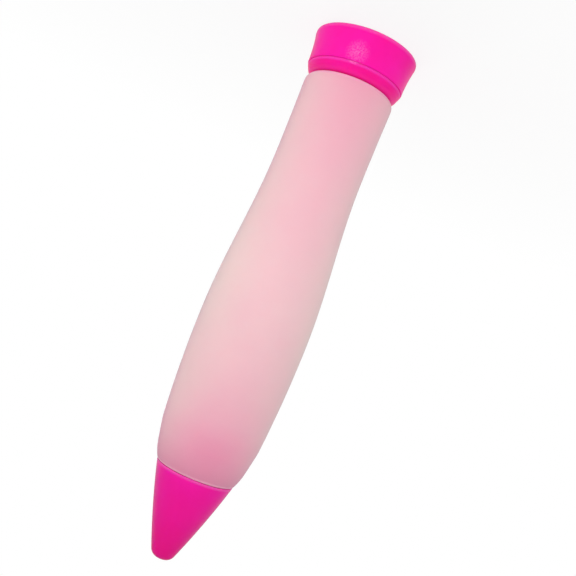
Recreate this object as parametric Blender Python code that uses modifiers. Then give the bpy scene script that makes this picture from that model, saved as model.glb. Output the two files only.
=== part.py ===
"""A silicone decorating pen for icing and melted chocolate, standing on its end cap with the tip up.

All sizes are in millimetres and MM turns them into Blender's metres. Heights are measured
up the pen's axis from the table. A profile is a list of (radius, height) points that runs
down the outer side of a piece and back up its inner side.
"""

import math

import bmesh
import bpy
from mathutils import Matrix

MM = 0.001

# Whole pen
PEN_LENGTH = 170.0
GAP = 0.3
EDGE = 0.2
BITE = 0.4
LARGE_FACETS = 40
SMALL_FACETS = 28

# End cap, the flared base that closes the filling mouth
CAP_HEIGHT = 10.5
CAP_TOP_ROUND = 0.35
CAP_WAIST_RADIUS = 15.73
CAP_RIM_RADIUS = 16.65
CAP_RIM_HEIGHT = 0.9
CAP_FLARE_POWER = 2.0
CAP_FLOOR = 2.2
CAP_WALL_INNER_RADIUS = 14.1
FOOT_OUTER_RADIUS = 15.85
FOOT_INNER_RADIUS = 13.4
FOOT_RECESS = 0.6
SKIRT_INNER_RADIUS = 10.95
SKIRT_OUTER_RADIUS = 12.3
SKIRT_TOP = 9.7
CAP_RIB_COUNT = 8
CAP_RIB_THICKNESS = 1.0
CAP_RIB_TOP = 7.9

# Sealing disc inside the end cap
LINER_RADIUS = 10.5
LINER_THICKNESS = 1.0

# Filler neck, the threaded mouth
NECK_BORE_RADIUS = 9.0
NECK_THREAD_RADIUS = 10.3
NECK_RADIUS = 10.5
NECK_BEAD_RADIUS = 10.9
NECK_BEAD_HEIGHT = 0.6
NECK_FLANGE_RADIUS = 11.8
NECK_FLANGE_THICKNESS = 1.1
NECK_LEAD_IN = 0.7
NECK_RIM_CHAMFER = 0.4

# Collar ring, the band between the end cap and the barrel
COLLAR_BOTTOM = CAP_HEIGHT + GAP
COLLAR_TOP = 14.2
COLLAR_RADIUS = 15.47
COLLAR_LOWER_ROUND = 0.4
COLLAR_CROWN_RADIUS = 15.2
COLLAR_CROWN_ROUND = 3.15
COLLAR_CROWN_ANGLE = 15.0
POCKET_INNER_RADIUS = 12.2
POCKET_OUTER_RADIUS = 13.9
POCKET_DEPTH = 1.9
POCKET_DRAFT = 0.1

# Squeeze barrel, one silicone moulding with an inward lip at each end
BARREL_BOTTOM = COLLAR_TOP + GAP
BARREL_TOP = 141.9
BARREL_WALL = 2.0
MOUTH_RADIUS = 14.5
MOUTH_ROUND = (0.4, 1.2)
MOUTH_LIP_BORE = 10.8
MOUTH_LIP_THICKNESS = 2.3
WAIST_RADIUS = 14.18
WAIST_HEIGHT = 40.0
BELLY_RADIUS = 17.26
BELLY_HEIGHT = 95.0
BELLY_ARC_RADIUS = 385.0
SHOULDER_HEIGHT = 130.0
TAPER_TOP_HEIGHT = 137.0
TAPER_TOP_RADIUS = 14.3
CROWN_ARC_RADIUS = 17.0
BARREL_EDGE_ROUND = 0.35
NOZZLE_LIP_BORE = 8.7
NOZZLE_LIP_THICKNESS = 2.6

# Nozzle socket, the fitting inside the barrel's nozzle end
SOCKET_BOTTOM = 128.4
SOCKET_TOP = 145.4
SOCKET_BORE_RADIUS = 6.6
SOCKET_SLEEVE_RADIUS = 8.0
SOCKET_NECK_RADIUS = 8.4
SOCKET_BEAD_RADIUS = 8.8
SOCKET_FLANGE_RADIUS = 11.3
SOCKET_FLANGE_THICKNESS = 1.8
SOCKET_EDGE = 0.4

# Socket ring, which traps the silicone lip from outside
SOCKET_RING_RADIUS = 10.9
SOCKET_RING_HEIGHT = 2.2
SOCKET_RING_EDGE = 0.4

# Washer under the nozzle
WASHER_INNER_RADIUS = 6.7
WASHER_OUTER_RADIUS = 8.2
WASHER_THICKNESS = 0.8

# Writing nozzle
SPIGOT_BOTTOM = 135.3
SPIGOT_RADIUS = 6.25
SPIGOT_CHAMFER = 0.6
NOZZLE_BORE_RADIUS = 5.0
NOZZLE_COLLAR_RADIUS = 9.2
NOZZLE_COLLAR_HEIGHT = 3.1
NOZZLE_COLLAR_TAPER = 0.9
NOZZLE_COLLAR_EDGE = 0.3
NOZZLE_FILLET = 0.5
NOZZLE_CONE_RADIUS = 6.1
NOZZLE_TIP_HEIGHT = 166.2
NOZZLE_TIP_RADIUS = 1.9
OUTLET_RADIUS = 1.0
OUTLET_LENGTH = 2.7
FLUTE_COUNT = 20
FLUTE_RADIUS = 0.75
FLUTE_DEPTH = 0.4
FLUTE_OVERRUN = 1.0

# Tip cap
TIP_CAP_BOTTOM = BARREL_TOP + GAP
TIP_CAP_RADIUS = 12.6
TIP_CAP_TAPER = 0.279
TIP_CAP_BULGE = 0.00236
TIP_CAP_WALL = 1.15
NOSE_ROUND = 2.95
NOSE_ANGLE = 22.0
TIP_CAP_INNER_TOP = 167.8
TIP_CAP_INNER_TOP_RADIUS = 1.9
PIN_RADIUS = 0.6
PIN_BOTTOM = 165.0
GRIP_COUNT = 6
GRIP_HEIGHT = 0.5
GRIP_THICKNESS = 1.0
GRIP_BOTTOM = 145.5
GRIP_TOP = 150.1

# Linear base colour, metallic, roughness and alpha
FINISHES = {
    "hot_pink_plastic": ((0.87, 0.013, 0.31), 0.0, 0.32, 1.0),
    "frosted_silicone": ((0.84, 0.56, 0.59), 0.0, 0.6, 0.82),
    "white_plastic": ((0.83, 0.82, 0.78), 0.0, 0.35, 1.0),
    "seal_silicone": ((0.72, 0.72, 0.70), 0.0, 0.55, 1.0),
}


def arc(centre, radii, start, end, steps):
    """Points on an ellipse's arc, from angle start to angle end in degrees, with 0 along +radius."""
    points = []
    for step in range(steps + 1):
        angle = math.radians(start + (end - start) * step / steps)
        radius = centre[0] + radii[0] * math.cos(angle)
        height = centre[1] + radii[1] * math.sin(angle)
        points.append((radius, height))
    return points


def spread(low, high, steps):
    """Evenly spaced values from low to high, both ends included."""
    return [low + (high - low) * step / steps for step in range(steps + 1)]


def cap_flare(height):
    """Outer radius of the end cap: a concave flare that steepens towards the rim."""
    top = CAP_HEIGHT - CAP_TOP_ROUND
    share = (top - height) / (top - CAP_RIM_HEIGHT)
    return CAP_WAIST_RADIUS + (CAP_RIM_RADIUS - CAP_WAIST_RADIUS) * share**CAP_FLARE_POWER


def barrel_radius(height):
    """Outer radius of the barrel: opening mouth, S-curve to the belly, long arc, taper, end arc."""
    if height <= WAIST_HEIGHT:
        share = (WAIST_HEIGHT - height) / (WAIST_HEIGHT - BARREL_BOTTOM)
        return WAIST_RADIUS + (MOUTH_RADIUS - WAIST_RADIUS) * share**2
    if height <= BELLY_HEIGHT:
        share = (height - WAIST_HEIGHT) / (BELLY_HEIGHT - WAIST_HEIGHT)
        return WAIST_RADIUS + (BELLY_RADIUS - WAIST_RADIUS) * (1 - math.cos(math.pi * share)) / 2
    if height <= SHOULDER_HEIGHT:
        return BELLY_RADIUS - (height - BELLY_HEIGHT) ** 2 / (2 * BELLY_ARC_RADIUS)
    shoulder = barrel_radius(SHOULDER_HEIGHT)
    slope = (shoulder - TAPER_TOP_RADIUS) / (TAPER_TOP_HEIGHT - SHOULDER_HEIGHT)
    if height <= TAPER_TOP_HEIGHT:
        return shoulder - slope * (height - SHOULDER_HEIGHT)
    start = math.atan(slope)
    lean = math.asin(math.sin(start) + (height - TAPER_TOP_HEIGHT) / CROWN_ARC_RADIUS)
    return TAPER_TOP_RADIUS - CROWN_ARC_RADIUS * (math.cos(start) - math.cos(lean))


def tip_cap_radius(height):
    """Outer radius of the tip cap: a cone with a slight bulge."""
    rise = height - TIP_CAP_BOTTOM
    return TIP_CAP_RADIUS - TIP_CAP_TAPER * rise - TIP_CAP_BULGE * rise**2


def material(name):
    found = bpy.data.materials.get(name)
    if found:
        return found
    colour, metallic, roughness, alpha = FINISHES[name]
    made = bpy.data.materials.new(name)
    made.use_nodes = True
    shader = made.node_tree.nodes["Principled BSDF"]
    shader.inputs["Base Color"].default_value = (*colour, 1.0)
    shader.inputs["Metallic"].default_value = metallic
    shader.inputs["Roughness"].default_value = roughness
    shader.inputs["Alpha"].default_value = alpha
    made.diffuse_color = (*colour, alpha)
    return made


def baked_mesh(obj):
    """The mesh that the viewport shows for an object, with its doubled points welded."""
    bpy.context.view_layer.update()
    graph = bpy.context.evaluated_depsgraph_get()
    mesh = bpy.data.meshes.new_from_object(obj.evaluated_get(graph))
    shape = bmesh.new()
    shape.from_mesh(mesh)
    bmesh.ops.remove_doubles(shape, verts=shape.verts, dist=1e-6)
    shape.to_mesh(mesh)
    shape.free()
    return mesh


def turned(name, profile, finish, facets, group, closed=True):
    """A piece turned about the Z axis. An open profile starts and ends on the axis."""
    points = [(radius * MM, 0.0, height * MM - group.location.z) for radius, height in profile]
    edges = [(index, index + 1) for index in range(len(points) - 1)]
    if closed:
        edges.append((len(points) - 1, 0))
    mesh = bpy.data.meshes.new(name)
    mesh.from_pydata(points, edges, [])
    piece = bpy.data.objects.new(name, mesh)
    parts.objects.link(piece)
    screw = piece.modifiers.new("turn", "SCREW")
    screw.axis = "Z"
    screw.steps = facets
    screw.render_steps = facets
    screw.use_merge_vertices = True
    screw.merge_threshold = 1e-6
    piece.data = baked_mesh(piece)
    piece.modifiers.clear()
    bpy.data.meshes.remove(mesh)
    piece.data.name = name
    piece.data.shade_smooth()
    piece.data.set_sharp_from_angle(angle=math.radians(35))
    piece.data.materials.append(material(finish))
    piece.parent = group
    return piece


def joint_group(name, height, parent=None):
    """An empty on the pen's axis at a joint's height. The pieces that move together hang from it."""
    group = bpy.data.objects.new(name, None)
    group.empty_display_size = 0.01
    parts.objects.link(group)
    group.location.z = height * MM
    if parent:
        group.parent = parent
        group.matrix_parent_inverse = Matrix.Translation(-parent.location)
    return group


def plate_mesh(name, outline, thickness):
    """A flat plate standing in the XZ plane, cut to an outline of (radius, height) points."""
    curve = bpy.data.curves.new(name, "CURVE")
    curve.dimensions = "2D"
    curve.fill_mode = "BOTH"
    curve.extrude = thickness / 2 * MM
    spline = curve.splines.new("POLY")
    spline.points.add(len(outline) - 1)
    spline.use_cyclic_u = True
    for point, (radius, height) in zip(spline.points, outline):
        point.co = (radius * MM, height * MM, 0.0, 1.0)
    flat = bpy.data.objects.new(name, curve)
    parts.objects.link(flat)
    mesh = baked_mesh(flat)
    bpy.data.objects.remove(flat)
    mesh.transform(Matrix.Rotation(math.radians(90), 4, "X"))
    return mesh


def ring_of(name, mesh, count, group):
    """A hidden tool made of count copies of a mesh set evenly round the Z axis."""
    shape = bmesh.new()
    for index in range(count):
        copy = mesh.copy()
        copy.transform(Matrix.Rotation(2 * math.pi * index / count, 4, "Z"))
        shape.from_mesh(copy)
        bpy.data.meshes.remove(copy)
    bmesh.ops.recalc_face_normals(shape, faces=shape.faces)
    mesh.clear_geometry()
    shape.to_mesh(mesh)
    shape.free()
    tool = bpy.data.objects.new(name, mesh)
    tools.objects.link(tool)
    tool.hide_render = True
    tool.display_type = "WIRE"
    mesh.transform(Matrix.Translation((0, 0, -group.location.z)))
    tool.parent = group
    return tool


def combine(piece, tool, operation):
    boolean = piece.modifiers.new(tool.name, "BOOLEAN")
    boolean.object = tool
    boolean.operation = operation
    boolean.solver = "EXACT"


def make_end_cap(group):
    """Flared cap: closed end with a foot ring, outer wall, threaded inner skirt and stiffening ribs."""
    wall_top = CAP_HEIGHT - CAP_TOP_ROUND
    profile = [
        (0.0, CAP_FLOOR),
        (SKIRT_INNER_RADIUS, CAP_FLOOR),
        (SKIRT_INNER_RADIUS, SKIRT_TOP - EDGE),
        (SKIRT_INNER_RADIUS + EDGE, SKIRT_TOP),
        (SKIRT_OUTER_RADIUS - EDGE, SKIRT_TOP),
        (SKIRT_OUTER_RADIUS, SKIRT_TOP - EDGE),
        (SKIRT_OUTER_RADIUS, CAP_FLOOR),
        (CAP_WALL_INNER_RADIUS, CAP_FLOOR),
        (CAP_WALL_INNER_RADIUS + EDGE, CAP_HEIGHT),
    ]
    profile += arc(
        (CAP_WAIST_RADIUS - CAP_TOP_ROUND, wall_top),
        (CAP_TOP_ROUND, CAP_TOP_ROUND),
        90,
        30,
        2,
    )
    profile += [(cap_flare(height), height) for height in spread(wall_top, CAP_RIM_HEIGHT, 7)]
    lip = CAP_RIM_RADIUS - FOOT_OUTER_RADIUS
    profile += arc((FOOT_OUTER_RADIUS, lip), (lip, lip), 0, -90, 4)
    profile += [
        (FOOT_INNER_RADIUS, 0.0),
        (FOOT_INNER_RADIUS - FOOT_RECESS, FOOT_RECESS),
        (0.0, FOOT_RECESS),
    ]
    cap = turned("end_cap", profile, "hot_pink_plastic", LARGE_FACETS, group, closed=False)
    outline = [
        (SKIRT_OUTER_RADIUS - BITE, CAP_FLOOR - BITE),
        (CAP_WALL_INNER_RADIUS + BITE, CAP_FLOOR - BITE),
        (CAP_WALL_INNER_RADIUS + BITE, CAP_RIB_TOP),
        (SKIRT_OUTER_RADIUS - BITE, CAP_RIB_TOP),
    ]
    ribs = ring_of("end_cap_ribs", plate_mesh("rib", outline, CAP_RIB_THICKNESS), CAP_RIB_COUNT, group)
    combine(cap, ribs, "UNION")
    return cap


def make_cap_liner(group):
    """Soft disc that the neck's rim presses on."""
    bottom = CAP_FLOOR + GAP
    top = bottom + LINER_THICKNESS
    profile = [
        (0.0, top),
        (LINER_RADIUS - EDGE, top),
        (LINER_RADIUS, top - EDGE),
        (LINER_RADIUS, bottom + EDGE),
        (LINER_RADIUS - EDGE, bottom),
        (0.0, bottom),
    ]
    return turned("cap_liner", profile, "seal_silicone", SMALL_FACETS, group, closed=False)


def make_filler_neck(group):
    """Threaded mouth that stands out through the barrel's lip, with a flange inside the barrel."""
    rim = CAP_FLOOR + 2 * GAP + LINER_THICKNESS
    flange_bottom = BARREL_BOTTOM + MOUTH_LIP_THICKNESS + GAP
    flange_top = flange_bottom + NECK_FLANGE_THICKNESS
    bead_top = COLLAR_BOTTOM - GAP
    lead_in_top = flange_top + NECK_LEAD_IN
    profile = [
        (NECK_BORE_RADIUS + NECK_LEAD_IN - EDGE, lead_in_top),
        (NECK_BORE_RADIUS + NECK_LEAD_IN + EDGE, lead_in_top),
        (NECK_FLANGE_RADIUS, flange_top),
        (NECK_FLANGE_RADIUS, flange_bottom),
        (NECK_RADIUS, flange_bottom),
        (NECK_RADIUS, bead_top),
        (NECK_BEAD_RADIUS, bead_top),
        (NECK_BEAD_RADIUS, bead_top - EDGE),
        (NECK_THREAD_RADIUS, bead_top - NECK_BEAD_HEIGHT),
        (NECK_THREAD_RADIUS, rim + NECK_RIM_CHAMFER),
        (NECK_THREAD_RADIUS - NECK_RIM_CHAMFER, rim),
        (NECK_BORE_RADIUS + EDGE, rim),
        (NECK_BORE_RADIUS, rim + EDGE),
        (NECK_BORE_RADIUS, flange_top + EDGE),
    ]
    return turned("filler_neck", profile, "hot_pink_plastic", LARGE_FACETS, group)


def make_collar_ring(group):
    """The visible band, with a domed crown. A pocket in its lower face keeps the wall even."""
    inner = NECK_RADIUS + GAP
    pocket_top = COLLAR_BOTTOM + POCKET_DEPTH
    crown_lean = math.radians(COLLAR_CROWN_ANGLE)
    crown_centre = (
        COLLAR_CROWN_RADIUS - COLLAR_CROWN_ROUND * math.cos(crown_lean),
        COLLAR_TOP - COLLAR_CROWN_ROUND,
    )
    crown_size = (COLLAR_CROWN_ROUND, COLLAR_CROWN_ROUND)
    profile = arc(crown_centre, crown_size, 90, COLLAR_CROWN_ANGLE, 6)
    profile += arc(
        (COLLAR_RADIUS - COLLAR_LOWER_ROUND, COLLAR_BOTTOM + COLLAR_LOWER_ROUND),
        (COLLAR_LOWER_ROUND, COLLAR_LOWER_ROUND),
        0,
        -90,
        3,
    )
    profile += [
        (POCKET_OUTER_RADIUS, COLLAR_BOTTOM),
        (POCKET_OUTER_RADIUS - POCKET_DRAFT, pocket_top),
        (POCKET_INNER_RADIUS + POCKET_DRAFT, pocket_top),
        (POCKET_INNER_RADIUS, COLLAR_BOTTOM),
        (inner, COLLAR_BOTTOM),
        (inner, COLLAR_TOP),
    ]
    return turned("collar_ring", profile, "hot_pink_plastic", LARGE_FACETS, group)


def make_squeeze_barrel(group):
    """Hollow silicone moulding with a slim mouth, a full belly and a tapered nozzle end."""
    edge_height = BARREL_TOP - BARREL_EDGE_ROUND
    outer = arc(
        (barrel_radius(edge_height) - BARREL_EDGE_ROUND, edge_height),
        (BARREL_EDGE_ROUND, BARREL_EDGE_ROUND),
        90,
        30,
        2,
    )
    heights = spread(edge_height, TAPER_TOP_HEIGHT, 5)
    heights += spread(TAPER_TOP_HEIGHT, SHOULDER_HEIGHT, 2)[1:]
    heights += spread(SHOULDER_HEIGHT, BELLY_HEIGHT, 5)[1:]
    heights += spread(BELLY_HEIGHT, WAIST_HEIGHT, 10)[1:]
    heights += spread(WAIST_HEIGHT, BARREL_BOTTOM + MOUTH_ROUND[1], 2)[1:-1]
    outer += [(barrel_radius(height), height) for height in heights]
    rounding_top = BARREL_BOTTOM + MOUTH_ROUND[1]
    rounding_radius = barrel_radius(rounding_top) - MOUTH_ROUND[0]
    outer += arc((rounding_radius, rounding_top), MOUTH_ROUND, 0, -90, 3)
    lip_top = BARREL_BOTTOM + MOUTH_LIP_THICKNESS
    lip_bottom = BARREL_TOP - NOZZLE_LIP_THICKNESS
    inner = [
        (MOUTH_LIP_BORE, BARREL_BOTTOM),
        (MOUTH_LIP_BORE, lip_top),
    ]
    inner_heights = [lip_top] + spread(WAIST_HEIGHT, BELLY_HEIGHT, 8)
    inner_heights += spread(BELLY_HEIGHT, SHOULDER_HEIGHT, 2)[1:]
    inner_heights += [TAPER_TOP_HEIGHT, lip_bottom]
    inner += [(barrel_radius(height) - BARREL_WALL, height) for height in inner_heights]
    inner += [
        (NOZZLE_LIP_BORE, lip_bottom),
        (NOZZLE_LIP_BORE, BARREL_TOP),
    ]
    return turned("squeeze_barrel", outer + inner, "frosted_silicone", LARGE_FACETS, group)


def make_nozzle_socket(group):
    """Threaded sleeve inside the nozzle end. Its flange bears on the silicone lip from inside."""
    flange_top = BARREL_TOP - NOZZLE_LIP_THICKNESS - GAP
    flange_bottom = flange_top - SOCKET_FLANGE_THICKNESS
    ring_top = BARREL_TOP + GAP + SOCKET_RING_HEIGHT
    bead_bottom = ring_top + GAP
    profile = [
        (SOCKET_BORE_RADIUS + SOCKET_EDGE, SOCKET_TOP),
        (SOCKET_NECK_RADIUS - EDGE, SOCKET_TOP),
        (SOCKET_BEAD_RADIUS, bead_bottom + EDGE),
        (SOCKET_BEAD_RADIUS, bead_bottom),
        (SOCKET_NECK_RADIUS, bead_bottom),
        (SOCKET_NECK_RADIUS, flange_top),
        (SOCKET_FLANGE_RADIUS, flange_top),
        (SOCKET_FLANGE_RADIUS, flange_bottom + SOCKET_EDGE),
        (SOCKET_FLANGE_RADIUS - 2 * SOCKET_EDGE, flange_bottom),
        (SOCKET_SLEEVE_RADIUS, flange_bottom),
        (SOCKET_SLEEVE_RADIUS, SOCKET_BOTTOM + SOCKET_EDGE),
        (SOCKET_SLEEVE_RADIUS - SOCKET_EDGE, SOCKET_BOTTOM),
        (SOCKET_BORE_RADIUS + SOCKET_EDGE, SOCKET_BOTTOM),
        (SOCKET_BORE_RADIUS, SOCKET_BOTTOM + SOCKET_EDGE),
        (SOCKET_BORE_RADIUS, SOCKET_TOP - SOCKET_EDGE),
    ]
    return turned("nozzle_socket", profile, "hot_pink_plastic", SMALL_FACETS, group)


def make_socket_ring(group):
    """Snap ring on the socket's neck, outside the barrel and under the tip cap."""
    bottom = BARREL_TOP + GAP
    top = bottom + SOCKET_RING_HEIGHT
    inner = SOCKET_NECK_RADIUS + GAP
    profile = [
        (SOCKET_RING_RADIUS - 2 * SOCKET_RING_EDGE, top),
        (SOCKET_RING_RADIUS - SOCKET_RING_EDGE, top - SOCKET_RING_EDGE),
        (SOCKET_RING_RADIUS, bottom + EDGE),
        (SOCKET_RING_RADIUS - EDGE, bottom),
        (inner, bottom),
        (inner, top),
    ]
    return turned("socket_ring", profile, "hot_pink_plastic", SMALL_FACETS, group)


def make_nozzle_washer(group):
    """Flat silicone washer between the socket's rim and the nozzle's collar."""
    bottom = SOCKET_TOP + GAP
    top = bottom + WASHER_THICKNESS
    profile = [
        (WASHER_OUTER_RADIUS, top),
        (WASHER_OUTER_RADIUS, bottom),
        (WASHER_INNER_RADIUS, bottom),
        (WASHER_INNER_RADIUS, top),
    ]
    return turned("nozzle_washer", profile, "seal_silicone", SMALL_FACETS, group)


def make_writing_nozzle(group):
    """Hollow nozzle: screw spigot, fluted collar and a slim cone down to a fine outlet."""
    collar_bottom = SOCKET_TOP + 2 * GAP + WASHER_THICKNESS
    collar_top = collar_bottom + NOZZLE_COLLAR_HEIGHT
    cone_start = collar_top + NOZZLE_FILLET
    collar_top_radius = NOZZLE_COLLAR_RADIUS - NOZZLE_COLLAR_TAPER
    outlet_start = NOZZLE_TIP_HEIGHT - OUTLET_LENGTH
    profile = [
        (OUTLET_RADIUS, NOZZLE_TIP_HEIGHT),
        (NOZZLE_TIP_RADIUS - 2 * EDGE, NOZZLE_TIP_HEIGHT),
        (NOZZLE_TIP_RADIUS - EDGE / 2, NOZZLE_TIP_HEIGHT - 1.5 * EDGE),
        (NOZZLE_TIP_RADIUS, NOZZLE_TIP_HEIGHT - 4 * EDGE),
        (NOZZLE_CONE_RADIUS, cone_start),
        (NOZZLE_CONE_RADIUS + NOZZLE_FILLET, collar_top),
        (collar_top_radius - NOZZLE_COLLAR_EDGE, collar_top),
        (collar_top_radius, collar_top - NOZZLE_COLLAR_EDGE),
        (NOZZLE_COLLAR_RADIUS, collar_bottom + NOZZLE_COLLAR_EDGE),
        (NOZZLE_COLLAR_RADIUS - NOZZLE_COLLAR_EDGE, collar_bottom),
        (SPIGOT_RADIUS, collar_bottom),
        (SPIGOT_RADIUS, SPIGOT_BOTTOM + SPIGOT_CHAMFER),
        (SPIGOT_RADIUS - SPIGOT_CHAMFER, SPIGOT_BOTTOM),
        (NOZZLE_BORE_RADIUS + EDGE, SPIGOT_BOTTOM),
        (NOZZLE_BORE_RADIUS, SPIGOT_BOTTOM + EDGE),
        (NOZZLE_BORE_RADIUS, collar_bottom),
        (OUTLET_RADIUS, outlet_start),
    ]
    nozzle = turned("writing_nozzle", profile, "white_plastic", SMALL_FACETS, group)
    shape = bmesh.new()
    bmesh.ops.create_cone(
        shape,
        cap_ends=True,
        segments=8,
        radius1=FLUTE_RADIUS * MM,
        radius2=FLUTE_RADIUS * MM,
        depth=(NOZZLE_COLLAR_HEIGHT + 2 * FLUTE_OVERRUN) * MM,
    )
    lean = math.atan2(NOZZLE_COLLAR_TAPER, NOZZLE_COLLAR_HEIGHT)
    middle_radius = NOZZLE_COLLAR_RADIUS - NOZZLE_COLLAR_TAPER / 2
    bmesh.ops.rotate(shape, verts=shape.verts, matrix=Matrix.Rotation(-lean, 3, "Y"))
    place = (
        (middle_radius + FLUTE_RADIUS - FLUTE_DEPTH) * MM,
        0.0,
        (collar_bottom + collar_top) / 2 * MM,
    )
    bmesh.ops.translate(shape, verts=shape.verts, vec=place)
    mesh = bpy.data.meshes.new("flute")
    shape.to_mesh(mesh)
    shape.free()
    flutes = ring_of("nozzle_flutes", mesh, FLUTE_COUNT, group)
    combine(nozzle, flutes, "DIFFERENCE")
    return nozzle


def make_tip_cap(group):
    """Thin bullet-shaped cap with grip ribs for the nozzle's collar and a pin for its outlet."""
    lean = math.radians(NOSE_ANGLE)
    nose_start = PEN_LENGTH - NOSE_ROUND * (1 - math.sin(lean))
    nose_centre = (
        tip_cap_radius(nose_start) - NOSE_ROUND * math.cos(lean),
        PEN_LENGTH - NOSE_ROUND,
    )
    profile = [(0.0, PEN_LENGTH)]
    profile += arc(nose_centre, (NOSE_ROUND, NOSE_ROUND), 90, NOSE_ANGLE, 5)
    heights = spread(nose_start - NOSE_ROUND, TIP_CAP_BOTTOM + GAP, 7)
    profile += [(tip_cap_radius(height), height) for height in heights]
    rim = tip_cap_radius(TIP_CAP_BOTTOM)
    profile += [
        (rim - EDGE, TIP_CAP_BOTTOM),
        (rim - TIP_CAP_WALL, TIP_CAP_BOTTOM),
    ]
    nose_wall = tip_cap_radius(TIP_CAP_INNER_TOP) - TIP_CAP_WALL - TIP_CAP_INNER_TOP_RADIUS
    inner_heights = spread(TIP_CAP_BOTTOM, TIP_CAP_INNER_TOP - 2 * nose_wall, 6)[1:]
    profile += [(tip_cap_radius(height) - TIP_CAP_WALL, height) for height in inner_heights]
    profile += [
        (TIP_CAP_INNER_TOP_RADIUS, TIP_CAP_INNER_TOP),
        (PIN_RADIUS + GAP, TIP_CAP_INNER_TOP),
        (PIN_RADIUS, TIP_CAP_INNER_TOP - GAP),
        (PIN_RADIUS, PIN_BOTTOM + GAP),
        (PIN_RADIUS - EDGE, PIN_BOTTOM),
        (0.0, PIN_BOTTOM),
    ]
    cap = turned("tip_cap", profile, "hot_pink_plastic", LARGE_FACETS, group, closed=False)
    inner_low = tip_cap_radius(GRIP_BOTTOM) - TIP_CAP_WALL
    inner_high = tip_cap_radius(GRIP_TOP) - TIP_CAP_WALL
    outline = [
        (inner_low - GRIP_HEIGHT, GRIP_BOTTOM + GRIP_HEIGHT),
        (inner_low + BITE, GRIP_BOTTOM),
        (inner_high + BITE, GRIP_TOP),
        (inner_high - GRIP_HEIGHT, GRIP_TOP),
    ]
    grips = ring_of("tip_cap_grips", plate_mesh("grip", outline, GRIP_THICKNESS), GRIP_COUNT, group)
    combine(cap, grips, "UNION")
    return cap


for old in list(bpy.data.objects):
    bpy.data.objects.remove(old)

parts = bpy.data.collections.new("decorating_pen")
tools = bpy.data.collections.new("shaping_tools")
bpy.context.scene.collection.children.link(parts)
bpy.context.scene.collection.children.link(tools)

cap_group = joint_group("cap_group", 0.0)
liner_group = joint_group("liner_group", CAP_FLOOR + GAP, cap_group)
barrel_group = joint_group("barrel_group", BARREL_BOTTOM, liner_group)
washer_group = joint_group("washer_group", SOCKET_TOP + GAP, barrel_group)
nozzle_group = joint_group("nozzle_group", SOCKET_TOP + 2 * GAP + WASHER_THICKNESS, washer_group)
tip_cap_group = joint_group("tip_cap_group", TIP_CAP_BOTTOM, nozzle_group)

make_end_cap(cap_group)
make_cap_liner(liner_group)
make_filler_neck(barrel_group)
make_collar_ring(barrel_group)
make_squeeze_barrel(barrel_group)
make_nozzle_socket(barrel_group)
make_socket_ring(barrel_group)
make_nozzle_washer(washer_group)
make_writing_nozzle(nozzle_group)
make_tip_cap(tip_cap_group)
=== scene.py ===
import math

import bpy
import numpy as np
from mathutils import Matrix, Vector


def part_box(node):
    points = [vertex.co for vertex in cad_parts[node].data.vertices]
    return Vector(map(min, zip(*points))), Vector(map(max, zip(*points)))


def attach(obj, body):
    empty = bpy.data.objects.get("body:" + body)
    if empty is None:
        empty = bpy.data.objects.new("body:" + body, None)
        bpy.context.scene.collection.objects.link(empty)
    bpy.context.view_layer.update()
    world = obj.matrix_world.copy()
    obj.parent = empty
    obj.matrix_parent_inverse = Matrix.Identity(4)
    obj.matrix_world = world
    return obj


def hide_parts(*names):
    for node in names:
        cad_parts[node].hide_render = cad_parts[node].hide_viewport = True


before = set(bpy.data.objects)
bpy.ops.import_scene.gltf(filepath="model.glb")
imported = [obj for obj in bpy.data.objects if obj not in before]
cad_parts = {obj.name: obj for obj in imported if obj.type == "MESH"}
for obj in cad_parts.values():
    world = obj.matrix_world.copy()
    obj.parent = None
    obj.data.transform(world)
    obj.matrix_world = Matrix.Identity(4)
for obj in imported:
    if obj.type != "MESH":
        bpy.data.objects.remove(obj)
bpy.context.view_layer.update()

# A silicone icing pen that stands on its flared end cap, tip up. Shapes, lamps and the camera are in
# millimetres until they reach Blender, and the materials read metres. A profile is a row of
# (radius, height, rounding) corners that runs clockwise round a wall's section, with the axis on the left.
mm = 0.001


def placeOf(node):
    # Lowest height, highest height and greatest radius of a CAD node
    low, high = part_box(node)
    return low.z / mm, high.z / mm, high.x / mm


def smoothStep(low, high, value):
    # 0 below low, 1 above high, and 3t^2 - 2t^3 between, where t is the share of the way up
    share = np.clip((value - low) / (high - low), 0.0, 1.0)
    return share * share * (3.0 - 2.0 * share)


def evenAngles(count):
    # Full turn over the count, times 0, 1, 2 and so on
    return np.arange(count) * 2 * math.pi / count


def curveCorners(radii, heights):
    # The points of a curve, as corners without rounding
    return [(radius, height, 0.0) for radius, height in zip(radii, heights)]


def steppedCorners(steps, radius, level):
    # Corners from (distance out from the radius, rise over the level, rounding) steps
    return [(radius + out, level + rise, rounding) for out, rise, rounding in steps]


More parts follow.
